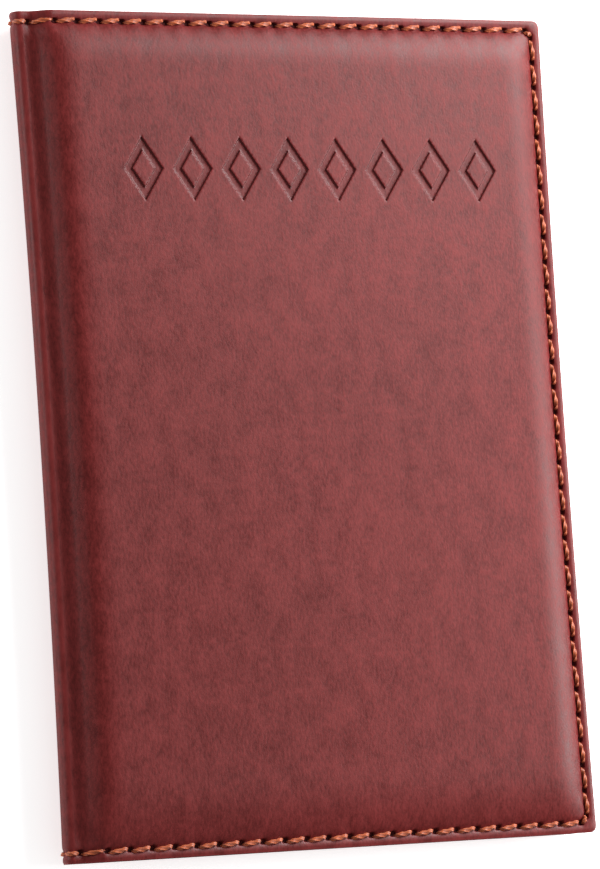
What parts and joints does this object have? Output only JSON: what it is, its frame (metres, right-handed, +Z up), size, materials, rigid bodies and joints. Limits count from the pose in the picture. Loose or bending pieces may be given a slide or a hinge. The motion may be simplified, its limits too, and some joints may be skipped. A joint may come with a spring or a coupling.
{
  "type": "passport holder",
  "caption": "Bifold passport holder in stitched burgundy imitation leather, padded covers, sleeve pockets for a passport and slots for cards.",
  "frame": {"origin": "middle of the footprint, on the surface that the closed holder lies on", "axes": "+X from the spine to the fore-edge, +Y to the top edge of the covers, +Z up out of the front cover"},
  "size_m": [0.1, 0.14, 0.0098],
  "materials": {
    "outer_leather": "satin smooth-grain imitation leather, burgundy, faint streaks",
    "foam": "thin off-white cell foam",
    "board": "grey-brown stiffener board",
    "lining_fabric": "fine dark burgundy woven lining",
    "pocket_leather": "satin imitation leather, burgundy",
    "seam_thread": "twisted orange-brown sewing thread",
    "fine_thread": "fine burgundy sewing thread"
  },
  "bodies": {
    "back_cover": {"back_skin": "outer_leather", "back_foam_pad": "foam", "back_board": "board", "back_lining": "lining_fabric", "passport_flap": "pocket_leather", "passport_flap_turned_edge": "pocket_leather", "passport_flap_hem_thread": "fine_thread", "back_needle_thread": "seam_thread", "back_bobbin_thread": "seam_thread"},
    "spine": {"spine_skin": "outer_leather", "spine_lining": "lining_fabric", "spine_needle_thread": "seam_thread", "spine_bobbin_thread": "seam_thread"},
    "front_cover": {"front_skin": "outer_leather", "front_foam_pad": "foam", "front_board": "board", "front_lining": "lining_fabric", "card_panel": "pocket_leather", "card_panel_turned_edge": "pocket_leather", "card_panel_hem_thread": "fine_thread", "card_slot_lower": "pocket_leather", "card_slot_lower_turned_edge": "pocket_leather", "card_slot_lower_thread": "fine_thread", "card_slot_upper": "pocket_leather", "card_slot_upper_turned_edge": "pocket_leather", "card_slot_upper_thread": "fine_thread", "front_needle_thread": "seam_thread", "front_bobbin_thread": "seam_thread"}
  },
  "joints": [
    {"name": "spine_fold", "type": "hinge", "parent": "back_cover", "child": "spine", "pos_m": [-0.04955, 0, 0.0015], "axis": [0, -1, 0], "range_deg": [0, 90]},
    {"name": "front_fold", "type": "hinge", "parent": "spine", "child": "front_cover", "pos_m": [-0.04955, 0, 0.0083], "axis": [0, -1, 0], "range_deg": [0, 90]}
  ]
}
